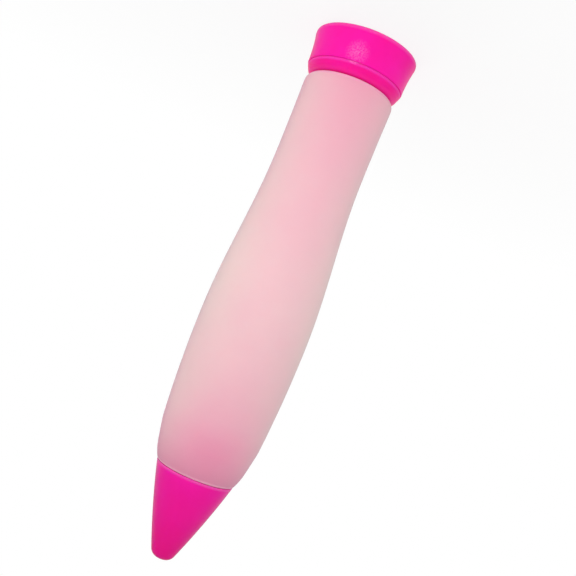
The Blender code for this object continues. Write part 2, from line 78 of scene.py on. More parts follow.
def roundedProfile(corners, closed, spacing=0.5, arcSteps=6):
    # Straight runs between corners. A corner c with rounding k becomes the curve
    # (1-t)^2 a + 2t(1-t) c + t^2 b, where a and b lie k away from c on its two runs, or just short of
    # half a run where that is less. The runs are then cut into pieces no longer than the spacing.
    mostShare = 0.48
    leastGap = 0.0001
    spots = np.array([corner[:2] for corner in corners], float)
    count = len(spots)
    steps = np.linspace(0.0, 1.0, arcSteps)[:, None]
    runs = []
    for index, corner in enumerate(corners):
        here = spots[index]
        atEnd = not closed and index in (0, count - 1)
        if atEnd or corner[2] <= 0:
            runs.append(here[None, :])
            continue
        before = spots[index - 1] - here
        after = spots[(index + 1) % count] - here
        start = here + before * min(corner[2] / np.linalg.norm(before), mostShare)
        finish = here + after * min(corner[2] / np.linalg.norm(after), mostShare)
        runs.append((1 - steps) ** 2 * start + 2 * steps * (1 - steps) * here + steps ** 2 * finish)
    path = np.concatenate(runs)
    if closed:
        path = np.concatenate([path, path[:1]])
    legs = np.linalg.norm(np.diff(path, axis=0), axis=1)
    pieces = np.maximum(np.ceil(legs / spacing).astype(int), 1)
    dense = [np.linspace(path[leg], path[leg + 1], pieces[leg], endpoint=False) for leg in range(len(legs))]
    dense = np.concatenate(dense if closed else dense + [path[-1:]])
    keep = np.ones(len(dense), bool)
    keep[1:] = np.linalg.norm(np.diff(dense, axis=0), axis=1) > leastGap
    return dense[keep]


def meshFrom(name, surfaces):
    # Each surface is (points, quads, triangles) in millimetres, and all of them go into one mesh
    mesh = bpy.data.meshes.new(name)
    points, faces, start = [], [], 0
    for spots, quads, triangles in surfaces:
        points.append(spots)
        faces += (quads + start).tolist() + (triangles + start).tolist()
        start += len(spots)
    mesh.from_pydata((np.concatenate(points) * mm).tolist(), [], faces)
    mesh.validate()
    mesh.shade_smooth()
    return mesh


def addPiece(name, mesh, material, body, node):
    # A piece that rides on a body and stands for one CAD node
    piece = bpy.data.objects.new(name, mesh)
    bpy.context.scene.collection.objects.link(piece)
    mesh.materials.append(material)
    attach(piece, body)
    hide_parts(node)


def turnedGrid(profile, angles, relief=None):
    # The point at row i and column j stands at radius r_i plus the relief there, and at angle j
    radius = profile[:, :1] + np.zeros((1, len(angles)))
    height = profile[:, 1:] + np.zeros((1, len(angles)))
    turn = angles[None, :] + np.zeros((len(profile), 1))
    if relief:
        radius = radius + relief(turn, radius, height)
    return np.stack([radius * np.cos(turn), radius * np.sin(turn), height], axis=2)


def gridFaces(rows, columns, closedRows):
    # Quads between neighbouring rows and columns, with the last column joined to the first
    index = np.arange(rows * columns).reshape(rows, columns)
    upper = index if closedRows else index[:-1]
    lower = np.roll(index, -1, axis=0) if closedRows else index[1:]
    quads = np.stack([upper, lower, np.roll(lower, -1, axis=1), np.roll(upper, -1, axis=1)], axis=2)
    return quads.reshape(-1, 4)


def turnedSurface(profile, angles, closed=True, relief=None):
    # A profile turned about the pen's axis. An open one starts and ends on the axis, at two poles.
    columns = len(angles)
    if closed:
        points = turnedGrid(profile, angles, relief).reshape(-1, 3)
        return points, gridFaces(len(profile), columns, True), np.zeros((0, 3), int)
    inner = profile[1:-1]
    points = turnedGrid(inner, angles, relief).reshape(-1, 3)
    poles = np.array([[0.0, 0.0, profile[0][1]], [0.0, 0.0, profile[-1][1]]])
    firstPole = len(points)
    ring = np.arange(columns)
    after = np.roll(ring, -1)
    lastRow = (len(inner) - 1) * columns
    firstFan = np.stack([np.full(columns, firstPole), ring, after], axis=1)
    lastFan = np.stack([ring + lastRow, np.full(columns, firstPole + 1), after + lastRow], axis=1)
    quads = gridFaces(len(inner), columns, False)
    return np.concatenate([points, poles]), quads, np.concatenate([firstFan, lastFan])


def blockSurface(centre, half, turn, power=0.22, rows=14, columns=28):
    # A superellipsoid, turned about the axis: cosine and sine each raised to a small power give soft edges
    def raised(value):
        return np.sign(value) * np.abs(value) ** power

    lift = np.linspace(-math.pi / 2, math.pi / 2, rows)[:, None]
    around = evenAngles(columns)[None, :]
    x = raised(np.cos(lift)) * raised(np.cos(around)) * half[0] + centre[0]
    y = raised(np.cos(lift)) * raised(np.sin(around)) * half[1] + centre[1]
    z = (raised(np.sin(lift)) + 0 * around) * half[2] + centre[2]
    turnedX = x * math.cos(turn) - y * math.sin(turn)
    turnedY = x * math.sin(turn) + y * math.cos(turn)
    points = np.stack([turnedX, turnedY, z], axis=2).reshape(-1, 3)
    quads = gridFaces(rows, columns, False)[:, ::-1]  # the rows run upwards, so the quads are turned
    return points, quads, np.zeros((0, 3), int)


def turnedMesh(name, profile, look, closed=True, relief=None):
    # The mesh of one turned profile, with its columns evenly spread
    return meshFrom(name, [turnedSurface(profile, evenAngles(look["columns"]), closed, relief)])


# Screw threads, right-handed
fillThread = {"lead": 4.0, "starts": 2, "baseWidth": 1.15, "crestWidth": 0.35, "tall": 0.42, "fade": 0.6}
nozzleThread = {"lead": 3.0, "starts": 1, "baseWidth": 1.5, "crestWidth": 0.5, "tall": 0.42, "fade": 0.8}


def threadRelief(thread, root, side, low, high):
    # Ridges on the round face at the root's radius, outwards for side 1 and inwards for side -1. They climb
    # one lead a turn, are rounded trapezoids across, and fade out at the heights low and high. The inner
    # ridges of a pair lie half a pitch away from the outer ones.
    nearRoot = 0.03
    pitch = thread["lead"] / thread["starts"]
    phase = 0.0 if side > 0 else pitch / 2
    flank = (thread["baseWidth"] - thread["crestWidth"]) / 2

    def relief(turn, radius, height):
        climb = height - thread["lead"] * turn / (2 * math.pi) - phase
        offset = np.abs(np.mod(climb + pitch / 2, pitch) - pitch / 2)
        ridge = smoothStep(0.0, flank, thread["baseWidth"] / 2 - offset)
        fadeIn = smoothStep(low, low + thread["fade"], height)
        fadeOut = 1.0 - smoothStep(high - thread["fade"], high, height)
        onRoot = np.abs(radius - root) < nearRoot
        return side * np.where(onRoot, thread["tall"] * ridge * fadeIn * fadeOut, 0.0)

    return relief


# Materials

def startMaterial(name):
    material = bpy.data.materials.new(name)
    material.use_nodes = True
    tree = material.node_tree
    return material, tree, tree.nodes["Principled BSDF"]


def addNode(tree, kind, **inputs):
    node = tree.nodes.new(kind)
    for socket, value in inputs.items():
        node.inputs[socket].default_value = value
    return node


def mixColours(tree, factor, first, second):
    mix = tree.nodes.new("ShaderNodeMix")
    mix.data_type = "RGBA"
    for socket, value in (("A", first), ("B", second)):
        found = [entry for entry in mix.inputs if entry.name == socket and entry.type == "RGBA"][0]
        if isinstance(value, tuple):
            found.default_value = (*value, 1.0)
        else:
            tree.links.new(value, found)
    tree.links.new(factor, mix.inputs["Factor"])
    return [entry for entry in mix.outputs if entry.type == "RGBA"][0]


def remap(tree, value, low, high, toLow, toHigh):
    # low to high becomes toLow to toHigh, and values past them stay at the nearer end
    node = addNode(tree, "ShaderNodeMapRange")
    node.inputs["From Min"].default_value = low
    node.inputs["From Max"].default_value = high
    node.inputs["To Min"].default_value = toLow
    node.inputs["To Max"].default_value = toHigh
    tree.links.new(value, node.inputs["Value"])
    return node.outputs["Result"]


def clamped(tree, value):
    return remap(tree, value, 0.0, 1.0, 0.0, 1.0)


def mathNode(tree, operation, *values):
    node = tree.nodes.new("ShaderNodeMath")
    node.operation = operation
    for socket, value in zip(node.inputs, values):
        if isinstance(value, float):
            socket.default_value = value
        else:
            tree.links.new(value, socket)
    return node.outputs[0]


def noiseOf(tree, place, scale, detail, rough):
    noise = addNode(tree, "ShaderNodeTexNoise", Scale=scale, Detail=detail, Roughness=rough)
    tree.links.new(place, noise.inputs["Vector"])
    return noise.outputs["Fac"]


def noiseBetween(tree, noise, band, low, high):
    # A noise stretched about its middle, so that it runs from low to high within the band on each side
    return remap(tree, noise, 0.5 - band, 0.5 + band, low, high)


def splitPlace(tree, place):
    parts = tree.nodes.new("ShaderNodeSeparateXYZ")
    tree.links.new(place, parts.inputs["Vector"])
    return parts.outputs


def distanceFrom(tree, place, spot):
    away = tree.nodes.new("ShaderNodeVectorMath")
    away.operation = "DISTANCE"
    away.inputs[1].default_value = spot
    tree.links.new(place, away.inputs[0])
    return away.outputs["Value"]


def addBump(tree, shader, layers):
    # Each layer is (height socket, depth in metres), and they lie on top of each other
    normal = None
    for height, depth in layers:
        bump = addNode(tree, "ShaderNodeBump", Strength=1.0, Distance=depth)
        tree.links.new(height, bump.inputs["Height"])
        if normal:
            tree.links.new(normal, bump.inputs["Normal"])
        normal = bump.outputs["Normal"]
    tree.links.new(normal, shader.inputs["Normal"])


def heightLevel(tree, height, stops):
    # A level that runs through (height in millimetres, level) stops
    ramp = tree.nodes.new("ShaderNodeValToRGB")
    low, high = stops[0][0], stops[-1][0]
    while len(ramp.color_ramp.elements) < len(stops):
        ramp.color_ramp.elements.new(0.5)
    for element, (spot, level) in zip(ramp.color_ramp.elements, stops):
        element.position = (spot - low) / (high - low)
        element.color = (level, level, level, 1.0)
    tree.links.new(remap(tree, height, low * mm, high * mm, 0.0, 1.0), ramp.inputs["Fac"])
    return ramp.outputs["Color"]


def tintByHeight(tree, height, colour, layers):
    # Each layer is a tint of painted light and shade and its stops, laid over the ones before it
    for tint, stops in layers:
        colour = mixColours(tree, heightLevel(tree, height, stops), colour, tint)
    return colour


def setShader(shader, **values):
    for socket, value in values.items():
        shader.inputs[socket.replace("_", " ")].default_value = value


def addSkin(shader, tint):
    # A thin skin that takes in a little light, and more of it where the surface is seen edge-on
    setShader(shader, Coat_Weight=1.0, Coat_Roughness=0.6, Coat_IOR=1.01, Coat_Tint=(*tint, 1.0))


def paintHighlight(tree, place, colour, paintedHighlight):
    # A painted highlight: a pale mottled spot, as strong as its share of the way in from its reach, times a
    # fine noise
    away = distanceFrom(tree, place, paintedHighlight["place"])
    inward = remap(tree, away, paintedHighlight["reach"], 0.0, 0.0, paintedHighlight["level"])
    mottle = noiseOf(tree, place, paintedHighlight["mottleScale"], detail=2.0, rough=0.6)
    strength = mathNode(tree, "MULTIPLY", inward, noiseBetween(tree, mottle, band=0.12, low=0.1, high=1.0))
    return mixColours(tree, strength, colour, paintedHighlight["colour"])


def mouldedPlastic(name, look):
    # Injection-moulded plastic: cloudy pigment, satin gloss with flow marks in its roughness, and a fine
    # spark-eroded grain. Painted bands of light and shade and a painted highlight lie on the colour.
    material, tree, shader = startMaterial(name)
    place = tree.nodes.new("ShaderNodeTexCoord").outputs["Object"]
    cloud = noiseOf(tree, place, look["cloudScale"], detail=3.0, rough=0.55)
    cloud = noiseBetween(tree, cloud, band=0.15, low=0.0, high=1.0)
    colour = mixColours(tree, cloud, look["deep"], look["bright"])
    colour = tintByHeight(tree, splitPlace(tree, place)["Z"], colour, look["paintedLightAndShade"])
    # A painted highlight, where the look gives one
    if look["paintedHighlight"]:
        colour = paintHighlight(tree, place, colour, look["paintedHighlight"])
    tree.links.new(colour, shader.inputs["Base Color"])
    flow = noiseOf(tree, place, look["flowScale"], detail=3.0, rough=0.6)
    roughness = noiseBetween(tree, flow, band=0.2, low=look["glossy"], high=look["satin"])
    tree.links.new(roughness, shader.inputs["Roughness"])
    grain = noiseOf(tree, place, look["grainScale"], detail=2.0, rough=0.6)
    sink = noiseOf(tree, place, look["sinkScale"], detail=1.0, rough=0.5)
    addBump(tree, shader, [(sink, look["sinkDepth"]), (grain, look["grainDepth"])])
    setShader(shader, Specular_IOR_Level=look["specular"], IOR=1.49)
    setShader(shader, Subsurface_Weight=look["glow"], Subsurface_Scale=0.001)
    setShader(shader, Subsurface_Radius=look["glowReach"])
    addSkin(shader, look["skinTint"])
    return material


# Painted bands of light and shade, and painted glow levels, have stops of (height in millimetres,
# strength). Other lengths are in metres, and a noise scale is a count of its repeats in a metre.
pinkLook = {
    "deep": (0.95, 0.006, 0.38),
    "bright": (0.99, 0.009, 0.43),
    "paintedLightAndShade": [],
    "paintedHighlight": None,
    "cloudScale": 90.0,
    "flowScale": 260.0,
    "glossy": 0.30,  # lower than this and the gloss breaks up into dark blotches
    "satin": 0.36,
    "grainScale": 3200.0,
    "grainDepth": 0.0000015,
    "sinkScale": 170.0,
    "sinkDepth": 0.000012,
    "specular": 0.10,
    "glow": 0.5,
    "glowReach": (1.0, 0.1, 0.35),
    "skinTint": (0.99, 0.96, 0.94),
}
capLook = dict(
    pinkLook,
    # painted highlight along the rim's rounded edge
    paintedLightAndShade=[((0.96, 0.10, 0.50), [(0.0, 0.75), (0.7, 0.75), (1.6, 0.0)])],
    # painted highlight, mottled, on the flare by the groove
    paintedHighlight={
        "place": (0.0027, -0.0156, 0.0078),
        "reach": 0.0041,
        "colour": (0.97, 0.2, 0.6),
        "level": 0.8,
        "mottleScale": 2100.0,
    },
)
collarLook = dict(
    pinkLook,
    deep=(0.93, 0.005, 0.30),
    bright=(0.97, 0.007, 0.35),
    paintedLightAndShade=[
        # painted highlight on the band's rounded edge by the groove
        ((0.98, 0.05, 0.50), [(10.6, 0.8), (11.2, 0.8), (11.7, 0.0)]),
        # painted light on the crown, which lies in shade beside the silicone
        ((1.0, 0.04, 0.42), [(12.8, 0.0), (13.8, 0.5)]),
    ],
    # painted glint on the ledge by the groove
    paintedHighlight={
        "place": (0.0027, -0.0150, 0.0092),
        "reach": 0.0024,
        "colour": (0.98, 0.3, 0.68),
        "level": 2.2,
        "mottleScale": 2100.0,
    },
)
tipLook = dict(
    pinkLook,
    deep=(0.96, 0.008, 0.37),
    bright=(1.0, 0.010, 0.41),
    specular=0.07,
    skinTint=(0.96, 0.96, 0.94),
    paintedLightAndShade=[
        # painted shade, darker towards the tip
        ((0.84, 0.006, 0.25), [(144.0, 0.0), (170.0, 1.0)]),
        # painted highlight on the rim's edge
        ((0.98, 0.09, 0.48), [(142.2, 0.85), (142.7, 0.85), (143.2, 0.0)]),
    ],
)
whiteLook = dict(
    pinkLook,
    deep=(0.80, 0.79, 0.75),
    bright=(0.86, 0.85, 0.82),
    specular=0.45,
    glow=0.2,
    glowReach=(1.0, 0.9, 0.8),
)
sealLook = dict(
    whiteLook,
    deep=(0.68, 0.68, 0.66),
    bright=(0.74, 0.74, 0.72),
    glossy=0.5,
    satin=0.65,
    grainDepth=0.000008,
    specular=0.35,
)

siliconeLook = {
    # the wall runs from the side colour to the front colour as the painted glow's share rises
    "side": (0.92, 0.66, 0.645),
    "front": (0.91, 0.57, 0.61),
    "paintedGlowAngle": -98.0,  # degrees about the axis, to the middle of the side where the painted glow is strongest
    "nearPower": 3.0,
    "farStart": 0.38,  # cosines between which the far side's share of painted pink comes in
    "farFull": -0.15,
    "farShare": 0.7,
    "cloudShare": 0.25,
    # painted pink glow of the fittings through the wall, with its levels by height
    "paintedGlow": (0.88, 0.31, 0.465),
    "paintedGlowLevels": [
        (14.5, 0.7), (20.0, 0.58), (35.0, 0.39), (52.0, 0.24), (70.0, 0.1), (87.0, 0.0), (105.0, 0.12),
        (113.0, 0.25), (123.0, 0.47), (129.0, 0.78), (133.5, 0.92), (141.9, 0.85),
    ],
    "paintedGlowAtSides": 0.52,
    "paintedLightAndShade": [
        ((0.78, 0.28, 0.42), [(133.0, 0.0), (141.0, 0.75), (141.9, 0.75)]),  # painted darker mauve glow by the tip cap
        ((1.0, 0.46, 0.65), [(14.5, 1.0), (15.1, 1.0), (15.7, 0.0)]),  # painted highlight on the lower edge
        ((1.0, 0.44, 0.60), [(141.2, 0.0), (141.7, 1.0), (142.2, 1.0)]),  # painted highlight on the upper edge
    ],
    "roughLow": 0.50,
    "roughHigh": 0.62,
    "cloudScale": 55.0,
    "frostScale": 330.0,
    "grainScale": 2600.0,
    "grainDepth": 0.000004,
    "transmission": 0.06,
    "ior": 1.41,
    "subsurface": 0.25,
    "subsurfaceScale": 0.002,
    "subsurfaceReach": (1.0, 0.55, 0.6),
    "sheen": 0.02,
    "sheenRough": 0.5,
    "specular": 0.1,
    "skinTint": (0.97, 0.985, 0.985),
}


def frostedSilicone(name, look):
    # Milky silicone: light passes and blurs. The pink fittings' glow through the wall beside them is
    # painted on.
    # The wall is also painted pinkest along the glow angle, and this fades around it by the cosine of the
    # turn from it, to a power. Where that cosine is low, on the far side, an even share of painted pink
    # comes back.
    material, tree, shader = startMaterial(name)
    place = tree.nodes.new("ShaderNodeTexCoord").outputs["Object"]
    parts = splitPlace(tree, place)
    # Share of painted glow around the axis
    around = mathNode(tree, "ARCTAN2", parts["Y"], parts["X"])
    turned = mathNode(tree, "SUBTRACT", around, math.radians(look["paintedGlowAngle"]))
    cosine = mathNode(tree, "COSINE", turned)
    near = mathNode(tree, "POWER", mathNode(tree, "MAXIMUM", cosine, 0.0), look["nearPower"])
    far = remap(tree, cosine, look["farStart"], look["farFull"], 0.0, look["farShare"])
    facing = mathNode(tree, "ADD", near, far)
    cloud = noiseOf(tree, place, look["cloudScale"], detail=3.0, rough=0.5)
    cloud = noiseBetween(tree, cloud, band=0.2, low=-look["cloudShare"], high=look["cloudShare"])
    share = clamped(tree, mathNode(tree, "ADD", facing, cloud))
    base = mixColours(tree, share, look["side"], look["front"])
    # Painted pink glow of the fittings through the wall, by height, and weaker at the sides
    level = heightLevel(tree, parts["Z"], look["paintedGlowLevels"])
    level = mathNode(tree, "MULTIPLY", level, remap(tree, facing, 0.0, 1.0, look["paintedGlowAtSides"], 1.0))
    colour = tintByHeight(tree, parts["Z"], mixColours(tree, level, base, look["paintedGlow"]), look["paintedLightAndShade"])
    tree.links.new(colour, shader.inputs["Base Color"])
    frost = noiseOf(tree, place, look["frostScale"], detail=3.0, rough=0.6)
    roughness = noiseBetween(tree, frost, band=0.2, low=look["roughLow"], high=look["roughHigh"])
    tree.links.new(roughness, shader.inputs["Roughness"])
    grain = noiseOf(tree, place, look["grainScale"], detail=3.0, rough=0.65)
    addBump(tree, shader, [(grain, look["grainDepth"])])
    setShader(shader, Transmission_Weight=look["transmission"], IOR=look["ior"])
    setShader(shader, Subsurface_Weight=look["subsurface"], Subsurface_Scale=look["subsurfaceScale"])
    setShader(shader, Subsurface_Radius=look["subsurfaceReach"], Specular_IOR_Level=look["specular"])
    setShader(shader, Sheen_Weight=look["sheen"], Sheen_Roughness=look["sheenRough"])
    addSkin(shader, look["skinTint"])
    return material


pinkPlastic = mouldedPlastic("pinkPlastic", pinkLook)
capPlastic = mouldedPlastic("capPlastic", capLook)
collarPlastic = mouldedPlastic("collarPlastic", collarLook)
tipPlastic = mouldedPlastic("tipPlastic", tipLook)
whitePlastic = mouldedPlastic("whitePlastic", whiteLook)
sealSilicone = mouldedPlastic("sealSilicone", sealLook)
barrelSilicone = frostedSilicone("barrelSilicone", siliconeLook)
print("materials made")

# Heights and radii that the CAD gives
capBottom, capTop = placeOf("end_cap")[:2]
linerBottom, linerTop, linerRadius = placeOf("cap_liner")
neckBottom, neckTop, neckRadius = placeOf("filler_neck")
collarBottom, collarTop = placeOf("collar_ring")[:2]
barrelBottom, barrelTop, barrelRadius = placeOf("squeeze_barrel")
socketBottom, socketTop, socketRadius = placeOf("nozzle_socket")
ringBottom, ringTop, ringRadius = placeOf("socket_ring")
washerBottom, washerTop, washerRadius = placeOf("nozzle_washer")
nozzleBottom, nozzleTop, nozzleRadius = placeOf("writing_nozzle")
tipCapBottom, tipCapTop = placeOf("tip_cap")[:2]

# End cap
endCap = {
    "topRaise": 0.1,  # how far the wall's top stands over the solid's
    "topRound": 0.4,
    "waistRadius": 15.6,
    "rimRadius": 16.55,
    "rimHeight": 1.3,
    "rimRound": 1.3,
    "rimDraft": 0.01,
    "flarePower": 2.0,
    "flareStart": 0.3,  # from the top's rounding down to the flare's first point
    "flareRows": 18,
    "wallInnerRadius": 14.1,
    "wallDraft": 0.2,
    "wallRound": 0.3,
    "floorTop": 2.2,
    "floorRound": 0.4,
    "skirtInner": 10.95,
    "skirtOuter": 12.3,
    "skirtTop": 9.7,
    "skirtRound": 0.35,
    "threadStart": 0.9,  # over the floor
    "threadEnd": 0.1,  # under the skirt's top
    "footInnerRadius": 13.4,
    "footRound": 0.35,
    "recess": 0.6,
    "recessRound": 0.5,
    "gateRadius": 1.1,
    "gateMark": [  # (distance out from the gate's radius, rise over the recess, rounding)
        (0.5, 0.0, 0.2),
        (0.3, 0.18, 0.15),
        (-0.5, 0.18, 0.15),
        (-0.65, -0.05, 0.12),
    ],
    "gateDip": 0.05,
    "ribCount": 8,
    "ribTop": 7.9,
    "ribThickness": 1.0,
    "ribBite": 0.25,  # how far a rib's ends sink into skirt and wall
    "ribSink": 0.2,  # half of how far a rib's foot sinks into the floor
    "columns": 192,
    "spacing": 0.25,
}


def makeEndCap(look):
    # The wall's outer radius is the waist plus the flare times the share of the way down to the rim, to a
    # power. Inside stand a threaded skirt and ribs, and below are a foot ring, a recess and a gate mark.
    top = capTop + look["topRaise"]
    highest = top - look["topRound"] - look["flareStart"]
    flareHeights = np.linspace(highest, look["rimHeight"], look["flareRows"])
    share = (top - flareHeights) / (top - look["rimHeight"])
    flare = look["waistRadius"] + (look["rimRadius"] - look["waistRadius"]) * share ** look["flarePower"]
    recessTop = capBottom + look["recess"]
    corners = [
        (0.0, look["floorTop"], 0.0),
        (look["skirtInner"], look["floorTop"], look["floorRound"]),
        (look["skirtInner"], look["skirtTop"], look["skirtRound"]),
        (look["skirtOuter"], look["skirtTop"], look["skirtRound"]),
        (look["skirtOuter"], look["floorTop"], look["floorRound"]),
        (look["wallInnerRadius"], look["floorTop"], look["floorRound"]),
        (look["wallInnerRadius"] + look["wallDraft"], top, look["wallRound"]),
        (look["waistRadius"], top, look["topRound"]),
    ]
    corners += curveCorners(flare, flareHeights)
    corners += [
        (look["rimRadius"] - look["rimDraft"], capBottom, look["rimRound"]),
        (look["footInnerRadius"], capBottom, look["footRound"]),
        (look["footInnerRadius"] - look["recess"], recessTop, look["recessRound"]),
    ]
    corners += steppedCorners(look["gateMark"], look["gateRadius"], recessTop)
    corners.append((0.0, recessTop - look["gateDip"], 0.0))
    profile = roundedProfile(corners, closed=False, spacing=look["spacing"])
    low = look["floorTop"] + look["threadStart"]
    relief = threadRelief(fillThread, look["skirtInner"], -1, low, look["skirtTop"] - look["threadEnd"])
    surfaces = [turnedSurface(profile, evenAngles(look["columns"]), closed=False, relief=relief)]
    middle = (look["skirtOuter"] + look["wallInnerRadius"]) / 2
    reach = (look["wallInnerRadius"] - look["skirtOuter"]) / 2 + look["ribBite"]
    tall = (look["ribTop"] - look["floorTop"]) / 2
    centre = (middle, 0.0, look["floorTop"] + tall - look["ribSink"])
    half = (reach, look["ribThickness"] / 2, tall + look["ribSink"])
    surfaces += [blockSurface(centre, half, turn) for turn in evenAngles(look["ribCount"])]
    mesh = meshFrom("endCap", surfaces)
    addPiece("endCapShell", mesh, capPlastic, "end_cap", "end_cap")


makeEndCap(endCap)
print("end cap made")

# Cap liner
capLiner = {
    "edge": 0.22,
    "grooveRadius": 9.65,
    "groove": [  # (distance out from the groove's radius, rise over the top, rounding)
        (-0.7, 0.0, 0.25),
        (-0.35, -0.12, 0.2),
        (0.35, -0.12, 0.2),
        (0.6, 0.0, 0.2),
    ],
    "columns": 112,
}


def makeCapLiner(look):
    # A flat disc with a shallow groove pressed into it by the neck's rim
    corners = [(0.0, linerTop, 0.0)]
    corners += steppedCorners(look["groove"], look["grooveRadius"], linerTop)
    corners += [
        (linerRadius, linerTop, look["edge"]),
        (linerRadius, linerBottom, look["edge"]),
        (0.0, linerBottom, 0.0),
    ]
    profile = roundedProfile(corners, closed=False)
    mesh = turnedMesh("capLiner", profile, look, closed=False)
    addPiece("capLinerDisc", mesh, sealSilicone, "liner", "cap_liner")


makeCapLiner(capLiner)
print("cap liner made")

# Filler neck
fillerNeck = {
    "bore": 9.0,
    "boreEdge": 0.35,
    "funnelWidth": 0.5,  # the slanted edge that leads into the bore
    "funnelLand": 0.9,
    "funnelRound": 0.2,
    "flangeBottom": 17.1,
    "flangeThickness": 1.1,
    "flangeEdge": 0.3,
    "neckRadius": 10.5,
    "neckFillet": 0.25,
    "beadRadius": 10.9,
    "beadTop": 10.5,
    "beadHeight": 0.25,
    "beadSlope": 0.6,
    "beadEdge": 0.12,
    "beadFillet": 0.1,
    "threadRoot": 10.3,
    "rootFillet": 0.15,
    "rootEnd": 0.45,
    "threadStart": 0.35,  # over the neck's rim
    "threadEnd": 0.7,  # under the bead's top
    "columns": 192,
    "spacing": 0.2,
}


def makeFillerNeck(look):
    # A tube with a threaded outside, a snap bead over the thread and a flange that slopes up to the bore
    flangeTop = look["flangeBottom"] + look["flangeThickness"]
    corners = [
        (look["bore"] + look["funnelWidth"], neckTop, look["funnelRound"]),
        (look["bore"] + look["funnelLand"], neckTop, look["funnelRound"]),
        (neckRadius, flangeTop, look["flangeEdge"]),
        (neckRadius, look["flangeBottom"], look["flangeEdge"]),
        (look["neckRadius"], look["flangeBottom"], look["neckFillet"]),
        (look["neckRadius"], look["beadTop"], look["beadFillet"]),
        (look["beadRadius"], look["beadTop"], look["beadEdge"]),
        (look["beadRadius"], look["beadTop"] - look["beadHeight"], look["beadEdge"]),
        (look["threadRoot"], look["beadTop"] - look["beadSlope"], look["rootFillet"]),
        (look["threadRoot"], neckBottom, look["rootEnd"]),
        (look["bore"], neckBottom, look["boreEdge"]),
        (look["bore"], neckTop - look["funnelWidth"], look["funnelRound"]),
    ]
    profile = roundedProfile(corners, closed=True, spacing=look["spacing"])
    low = neckBottom + look["threadStart"]
    relief = threadRelief(fillThread, look["threadRoot"], 1, low, look["beadTop"] - look["threadEnd"])
    mesh = turnedMesh("fillerNeck", profile, look, relief=relief)
    addPiece("fillerNeckFitting", mesh, pinkPlastic, "barrel", "filler_neck")


makeFillerNeck(fillerNeck)
print("filler neck made")

# Collar ring
collarRing = {
    "bore": 10.8,
    "boreEdge": 0.25,
    "outerRadius": 15.36,
    "lowChamfer": 0.3,
    "chamferRound": 0.3,
    "crownRadius": 14.95,
    "crownRound": 3.15,
    "crownAngle": 15.0,  # degrees, the lean of the slanted side
    "crownRows": 16,
    "pocketInner": 12.2,
    "pocketOuter": 13.9,
    "pocketDepth": 1.9,
    "pocketDraft": 0.1,
    "pocketEdge": 0.25,
    "pocketRound": 0.35,
    "ledgeRadius": 15.2,
    "ledgeInner": 14.3,
    "ledgeDrop": 0.17,
    "ledgeEdge": 0.05,
    "columns": 160,
    "spacing": 0.3,
}


def makeCollarRing(look):
    # The crown is an arc, which meets the slanted side at the crown angle. Below are a ledge, which narrows
    # the gap over the end cap's wall, and a ring-shaped pocket.
    lean = np.radians(np.linspace(90.0, look["crownAngle"], look["crownRows"]))
    centre = look["crownRadius"] - look["crownRound"] * math.cos(math.radians(look["crownAngle"]))
    crownX = centre + look["crownRound"] * np.cos(lean)
    crownZ = collarTop - look["crownRound"] * (1 - np.sin(lean))
    ledge = collarBottom - look["ledgeDrop"]
    pocketTop = collarBottom + look["pocketDepth"]
    corners = [(look["bore"], collarTop, look["boreEdge"])]
    corners += curveCorners(crownX, crownZ)
    corners += [
        (look["outerRadius"], collarBottom + look["lowChamfer"], look["chamferRound"]),
        (look["ledgeRadius"], collarBottom, look["ledgeEdge"]),
        (look["ledgeRadius"], ledge, look["ledgeEdge"]),
        (look["ledgeInner"], ledge, look["ledgeEdge"]),
        (look["ledgeInner"], collarBottom, look["ledgeEdge"]),
        (look["pocketOuter"], collarBottom, look["pocketEdge"]),
        (look["pocketOuter"] - look["pocketDraft"], pocketTop, look["pocketRound"]),
        (look["pocketInner"] + look["pocketDraft"], pocketTop, look["pocketRound"]),
        (look["pocketInner"], collarBottom, look["pocketEdge"]),
        (look["bore"], collarBottom, look["boreEdge"]),
    ]
    profile = roundedProfile(corners, closed=True, spacing=look["spacing"])
    mesh = turnedMesh("collarRing", profile, look)
    addPiece("collarBand", mesh, collarPlastic, "barrel", "collar_ring")


makeCollarRing(collarRing)
print("collar ring made")

# Squeeze barrel
squeezeBarrel = {
    "mouthRadius": 14.5,
    "waistRadius": 14.18,
    "waistHeight": 40.0,
    "bellyHeight": 95.0,
    "bellyArcRadius": 385.0,
    "shoulderHeight": 130.0,
    "taperTopHeight": 137.0,
    "taperTopRadius": 14.3,
    "crownArcRadius": 17.0,
    "blend": 1.0,  # height on each side that the outline is averaged over
    "blendSamples": 9,
    "mouthDrop": 0.05,
    "mouthStep": 0.95,
    "mouthRise": 1.0,
    "mouthRound": 1.0,
    "mouthDraft": 0.12,
    "mouthEdge": 0.25,
    "edgeRound": 0.68,
    "edgeRaise": 0.26,
    "edgeGap": 0.2,  # from the rounded edge to the outline's first point
    "mouthGap": 0.1,  # from the outline's last point to the rounded mouth
    "wall": 2.0,
    "mouthLipBore": 10.8,
    "mouthLipThickness": 2.3,
    "nozzleLipBore": 8.7,
    "nozzleLipThickness": 2.6,
    "lipEdge": 0.3,
    "mouthFillet": 0.8,
    "mouthFilletGap": 1.5,
    "nozzleFillet": 0.6,
    "nozzleFilletGap": 1.0,
    "nozzleFilletStep": 0.3,
    "seamHeight": 0.035,
    "seamWidth": 0.22,
    "seamDepth": 0.6,  # how far inside the outline still counts as the outer face
    "seamColumns": (-1.4, -0.9, -0.45, 0.45, 0.9, 1.4),  # extra columns beside the seam, in degrees
    "columns": 180,
    "outerRows": 130,
    "innerRows": 90,
    "spacing": 1.0,
    "arcSteps": 8,
}


